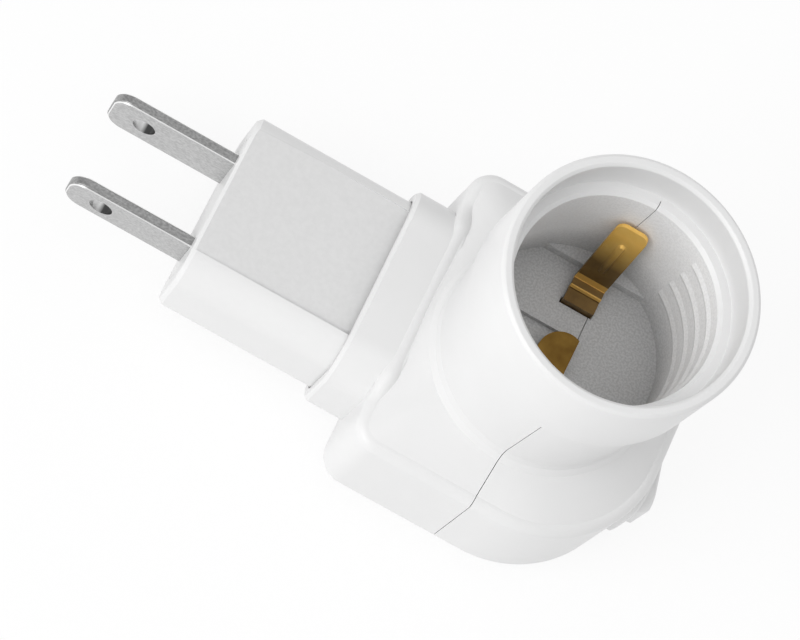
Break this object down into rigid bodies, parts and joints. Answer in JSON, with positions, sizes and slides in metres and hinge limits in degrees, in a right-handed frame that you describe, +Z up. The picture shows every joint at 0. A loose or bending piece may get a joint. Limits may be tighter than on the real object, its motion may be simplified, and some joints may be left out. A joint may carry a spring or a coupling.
{
  "type": "plug-in bulb socket adapter",
  "caption": "Plug-in bulb socket adapter: flat-blade plug, rounded two-shell housing, upright screw lamp socket with brass contacts, and a rocker switch on the end.",
  "frame": {"origin": "flat underside of the housing, below the socket axis", "axes": "+Z up the socket axis, +X from the plug blades to the rocker switch, +Y across"},
  "size_m": [0.0859, 0.0426, 0.0509],
  "materials": {
    "white_shell": "satin white moulding",
    "grey_ring": "satin white moulding",
    "switch_plastic": "satin white moulding",
    "plunger_plastic": "matt",
    "blade_metal": "brushed nickel plate",
    "brass": "bright brass strip",
    "silver_button": "bright",
    "spring_steel": "drawn wire",
    "lead_white": "insulation",
    "lead_black": "insulation"
  },
  "bodies": {
    "adapter": {"front_housing": "white_shell", "rear_housing": "white_shell", "skirt_ring": "grey_ring", "plug_shell": "white_shell", "blade_carrier": "white_shell", "neutral_blade": "blade_metal", "live_blade": "blade_metal", "neutral_lead": "lead_white", "live_lead": "lead_black", "switched_lead": "lead_black", "side_contact": "brass", "centre_contact": "brass", "switch_case": "switch_plastic", "common_terminal": "brass", "load_terminal": "brass", "terminal_button": "silver_button"},
    "rocker": {"rocker": "switch_plastic", "rocker_plunger": "plunger_plastic", "rocker_spring": "spring_steel"},
    "seesaw": {"seesaw_contact": "brass", "seesaw_button": "silver_button"}
  },
  "joints": [
    {"name": "rocker_switch", "type": "hinge", "parent": "adapter", "child": "rocker", "pos_m": [0.0194, 0, 0.0077], "axis": [0, 0, 1], "range_deg": [-14, 0]},
    {"name": "seesaw_contact", "type": "hinge", "parent": "adapter", "child": "seesaw", "pos_m": [0.01135, 0, 0.0077], "axis": [0, 0, 1], "range_deg": [0, 9.8]}
  ],
  "couplings": [
    {"joint": "seesaw_contact", "follows": "rocker_switch", "ratio": -0.7}
  ]
}
